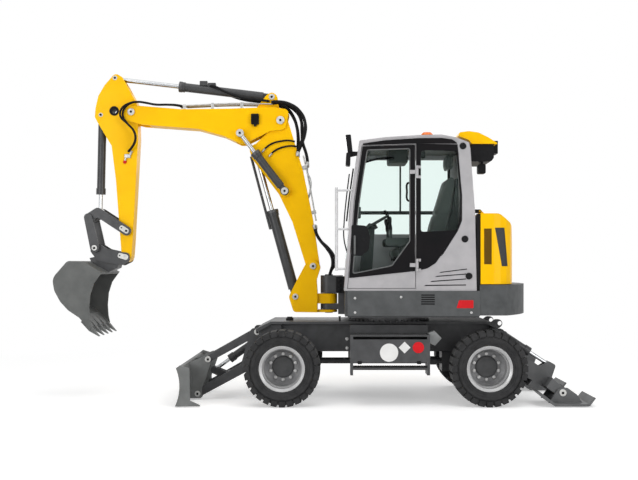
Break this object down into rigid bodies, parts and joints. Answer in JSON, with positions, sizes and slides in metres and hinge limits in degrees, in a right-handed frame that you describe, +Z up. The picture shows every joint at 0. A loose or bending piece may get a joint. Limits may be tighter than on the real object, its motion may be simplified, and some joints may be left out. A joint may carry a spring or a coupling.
{
  "type": "wheeled excavator",
  "caption": "Compact wheeled excavator with two-piece swing boom, bucket, front dozer blade and rear stabilisers",
  "frame": {"origin": "on the ground at the middle of the length in the pictured pose, on the machine's middle plane", "axes": "X runs rearward along the machine, so it travels toward -X; Y runs to its right; Z runs up"},
  "size_m": [5.8489, 1.948, 3.6694],
  "materials": {
    "chassis_paint": "satin",
    "frame_paint": "satin",
    "yellow_paint": "gloss",
    "cab_paint": "gloss",
    "rim_paint": "satin",
    "tyre": "matte",
    "rod_chrome": "polished",
    "steel": "satin",
    "bucket_paint": "matte",
    "glass": "clear",
    "black_plastic": "matte",
    "fabric": "woven",
    "weight_iron": "painted"
  },
  "bodies": {
    "chassis": {"chassis_frame": "chassis_paint", "slew_ring": "steel", "front_axle": "chassis_paint", "rear_axle": "chassis_paint", "step_boxes": "chassis_paint"},
    "knuckle_left": {"knuckle_left": "chassis_paint"},
    "knuckle_right": {"knuckle_right": "chassis_paint"},
    "tie_rod": {"tie_rod": "steel"},
    "wheel_front_left": {"rim_front_left": "rim_paint", "tyre_front_left": "tyre"},
    "wheel_front_right": {"rim_front_right": "rim_paint", "tyre_front_right": "tyre"},
    "wheel_rear_left": {"rim_rear_left": "rim_paint", "tyre_rear_left": "tyre"},
    "wheel_rear_right": {"rim_rear_right": "rim_paint", "tyre_rear_right": "tyre"},
    "blade_arms": {"blade_arms": "chassis_paint"},
    "blade_links": {"blade_links": "chassis_paint"},
    "blade": {"blade": "chassis_paint"},
    "blade_barrel": {"blade_barrel": "chassis_paint"},
    "blade_rod": {"blade_rod": "rod_chrome"},
    "legs": {"legs": "chassis_paint"},
    "pads": {"pads": "chassis_paint"},
    "leg_barrels": {"leg_barrels": "chassis_paint"},
    "leg_rods": {"leg_rods": "rod_chrome"},
    "upper": {"platform": "chassis_paint", "skirts": "frame_paint", "counterweight": "weight_iron", "engine": "steel", "side_cover": "yellow_paint", "cab_frame": "cab_paint", "cab_roof": "cab_paint", "cab_glass": "glass", "seat": "fabric", "controls": "black_plastic", "roof_unit": "yellow_paint", "fittings": "black_plastic"},
    "hood": {"engine_hood": "yellow_paint"},
    "door": {"cab_door": "cab_paint", "door_glass": "glass"},
    "swing_post": {"swing_post": "yellow_paint"},
    "lower_boom": {"lower_boom": "yellow_paint"},
    "upper_boom": {"upper_boom": "yellow_paint"},
    "stick": {"stick": "yellow_paint"},
    "rocker": {"rocker": "chassis_paint"},
    "push_link": {"push_link": "chassis_paint"},
    "bucket": {"hitch": "chassis_paint", "bucket": "bucket_paint"},
    "boom_barrel": {"boom_barrel": "chassis_paint"},
    "boom_rod": {"boom_rod": "rod_chrome"},
    "posi_barrel": {"posi_barrel": "chassis_paint"},
    "posi_rod": {"posi_rod": "rod_chrome"},
    "stick_barrel": {"stick_barrel": "chassis_paint"},
    "stick_rod": {"stick_rod": "rod_chrome"},
    "bucket_barrel": {"bucket_barrel": "chassis_paint"},
    "bucket_rod": {"bucket_rod": "rod_chrome"}
  },
  "joints": [
    {"name": "slew", "type": "hinge", "parent": "chassis", "child": "upper", "pos_m": [0.78, 0, 0.945], "axis": [0, 0, 1], "continuous": true},
    {"name": "boom_swing", "type": "hinge", "parent": "upper", "child": "swing_post", "pos_m": [0.095, 0, 1.1], "axis": [0, 0, 1], "range_deg": [-55, 65]},
    {"name": "boom_lift", "type": "hinge", "parent": "swing_post", "child": "lower_boom", "pos_m": [-0.085, 0, 1.486], "axis": [0, 1, 0], "range_deg": [-87, 18]},
    {"name": "boom_adjust", "type": "hinge", "parent": "lower_boom", "child": "upper_boom", "pos_m": [-0.45453, 0, 3.1392], "axis": [0, -1, 0], "range_deg": [-26, 18]},
    {"name": "stick_turn", "type": "hinge", "parent": "upper_boom", "child": "stick", "pos_m": [-2.14589, 0, 3.23376], "axis": [0, 1, 0], "range_deg": [-17, 95]},
    {"name": "bucket_turn", "type": "hinge", "parent": "stick", "child": "bucket", "pos_m": [-2.21203, 0, 1.58709], "axis": [0, -1, 0], "range_deg": [-15, 160]},
    {"name": "boom_barrel_turn", "type": "hinge", "parent": "swing_post", "child": "boom_barrel", "pos_m": [-0.285, 0, 1.14], "axis": [0, 1, 0], "range_deg": [-83.02, 17.97]},
    {"name": "boom_rod_slide", "type": "slide", "parent": "boom_barrel", "child": "boom_rod", "axis": [-0.2664, 0, 0.9639], "range_m": [-0.5533, 0.1185]},
    {"name": "posi_barrel_turn", "type": "hinge", "parent": "lower_boom", "child": "posi_barrel", "pos_m": [-0.4032, 0, 2.33196], "axis": [0, -1, 0], "range_deg": [-6.47, 4.79]},
    {"name": "posi_rod_slide", "type": "slide", "parent": "posi_barrel", "child": "posi_rod", "axis": [-0.6106, 0, 0.792], "range_m": [-0.1419, 0.2028]},
    {"name": "stick_barrel_turn", "type": "hinge", "parent": "upper_boom", "child": "stick_barrel", "pos_m": [-0.55634, 0, 3.41431], "axis": [0, 1, 0], "range_deg": [-2.75, 1.31]},
    {"name": "stick_rod_slide", "type": "slide", "parent": "stick_barrel", "child": "stick_rod", "axis": [-0.9931, 0, 0.1174], "range_m": [-0.6634, 0.1228]},
    {"name": "rocker_turn", "type": "hinge", "parent": "stick", "child": "rocker", "pos_m": [-2.19512, 0, 1.88365], "axis": [0, -1, 0], "range_deg": [-11.32, 111.06]},
    {"name": "push_link_turn", "type": "hinge", "parent": "bucket", "child": "push_link", "pos_m": [-2.54903, 0, 1.69109], "axis": [0, -1, 0], "range_deg": [-111.58, 11.37]},
    {"name": "bucket_barrel_turn", "type": "hinge", "parent": "stick", "child": "bucket_barrel", "pos_m": [-2.49734, 0, 3.20485], "axis": [0, -1, 0], "range_deg": [-1.29, 4.12]},
    {"name": "bucket_rod_slide", "type": "slide", "parent": "bucket_barrel", "child": "bucket_rod", "axis": [-0.0221, 0, -0.9998], "range_m": [-0.0685, 0.6825]},
    {"name": "blade_lift", "type": "hinge", "parent": "chassis", "child": "blade_arms", "pos_m": [-0.817, 0, 0.371], "axis": [0, 1, 0], "range_deg": [-10, 36]},
    {"name": "blade_link_turn", "type": "hinge", "parent": "chassis", "child": "blade_links", "pos_m": [-0.701, 0, 0.754], "axis": [0, 1, 0], "range_deg": [-11, 37]},
    {"name": "blade_turn", "type": "hinge", "parent": "blade_arms", "child": "blade", "pos_m": [-1.36539, 0, 0.06702], "axis": [0, 1, 0], "range_deg": [-37, 11]},
    {"name": "blade_barrel_turn", "type": "hinge", "parent": "chassis", "child": "blade_barrel", "pos_m": [-0.729, 0, 0.64], "axis": [0, 1, 0], "range_deg": [-7.39, 24]},
    {"name": "blade_rod_slide", "type": "slide", "parent": "blade_barrel", "child": "blade_rod", "axis": [-0.8188, 0, -0.574], "range_m": [-0.1305, 0.0399]},
    {"name": "leg_lift", "type": "hinge", "parent": "chassis", "child": "legs", "pos_m": [1.99, 0, 0.56], "axis": [0, -1, 0], "range_deg": [-8, 52]},
    {"name": "pad_turn", "type": "hinge", "parent": "legs", "child": "pads", "pos_m": [2.58798, 0, 0.14129], "axis": [0, -1, 0], "range_deg": [-13.5, 3]},
    {"name": "leg_barrel_turn", "type": "hinge", "parent": "chassis", "child": "leg_barrels", "pos_m": [1.979, 0, 0.752], "axis": [0, -1, 0], "range_deg": [-8.16, 47.54]},
    {"name": "leg_rod_slide", "type": "slide", "parent": "leg_barrels", "child": "leg_rods", "axis": [0.8359, 0, -0.5489], "range_m": [-0.1661, 0.0298]},
    {"name": "steer_left", "type": "hinge", "parent": "chassis", "child": "knuckle_left", "pos_m": [-0.395, -0.56, 0.405], "axis": [0, 0, 1], "range_deg": [-30, 30]},
    {"name": "steer_right", "type": "hinge", "parent": "chassis", "child": "knuckle_right", "pos_m": [-0.395, 0.56, 0.405], "axis": [0, 0, 1], "range_deg": [-30.5, 30.5]},
    {"name": "tie_rod_slide", "type": "slide", "parent": "chassis", "child": "tie_rod", "axis": [0, 1, 0], "range_m": [-0.09, 0.09]},
    {"name": "wheel_front_left", "type": "hinge", "parent": "knuckle_left", "child": "wheel_front_left", "pos_m": [-0.395, -0.82, 0.405], "axis": [0, 1, 0], "continuous": true},
    {"name": "wheel_front_right", "type": "hinge", "parent": "knuckle_right", "child": "wheel_front_right", "pos_m": [-0.395, 0.82, 0.405], "axis": [0, 1, 0], "continuous": true},
    {"name": "wheel_rear_left", "type": "hinge", "parent": "chassis", "child": "wheel_rear_left", "pos_m": [1.795, -0.82, 0.405], "axis": [0, 1, 0], "continuous": true},
    {"name": "wheel_rear_right", "type": "hinge", "parent": "chassis", "child": "wheel_rear_right", "pos_m": [1.795, 0.82, 0.405], "axis": [0, 1, 0], "continuous": true},
    {"name": "door_turn", "type": "hinge", "parent": "upper", "child": "door", "pos_m": [1.028, -0.952, 2], "axis": [0, 0, 1], "range_deg": [0, 160]},
    {"name": "hood_turn", "type": "hinge", "parent": "upper", "child": "hood", "pos_m": [1.712, 0, 2.076], "axis": [0, -1, 0], "range_deg": [0, 60]}
  ],
  "couplings": [
    {"joint": "boom_barrel_turn", "follows": "boom_lift", "ratio": 0.94271},
    {"joint": "boom_rod_slide", "follows": "boom_lift", "m_per_rad": 0.36112},
    {"joint": "posi_barrel_turn", "follows": "boom_adjust", "ratio": 0.21035},
    {"joint": "posi_rod_slide", "follows": "boom_adjust", "m_per_rad": -0.43579},
    {"joint": "stick_barrel_turn", "follows": "stick_turn", "ratio": -0.0184},
    {"joint": "stick_rod_slide", "follows": "stick_turn", "m_per_rad": -0.39711},
    {"joint": "rocker_turn", "follows": "bucket_turn", "ratio": 0.68787},
    {"joint": "push_link_turn", "follows": "bucket_turn", "ratio": -0.69114},
    {"joint": "bucket_barrel_turn", "follows": "bucket_turn", "ratio": 0.0195},
    {"joint": "bucket_rod_slide", "follows": "bucket_turn", "m_per_rad": 0.24261},
    {"joint": "blade_link_turn", "follows": "blade_lift", "ratio": 1},
    {"joint": "blade_turn", "follows": "blade_lift", "ratio": -1},
    {"joint": "blade_barrel_turn", "follows": "blade_lift", "ratio": 0.63892},
    {"joint": "blade_rod_slide", "follows": "blade_lift", "m_per_rad": -0.19976},
    {"joint": "pad_turn", "follows": "leg_lift", "ratio": -0.24},
    {"joint": "leg_barrel_turn", "follows": "leg_lift", "ratio": 0.89495},
    {"joint": "leg_rod_slide", "follows": "leg_lift", "m_per_rad": -0.17747},
    {"joint": "steer_right", "follows": "steer_left", "ratio": 1},
    {"joint": "tie_rod_slide", "follows": "steer_left", "m_per_rad": 0.165}
  ]
}
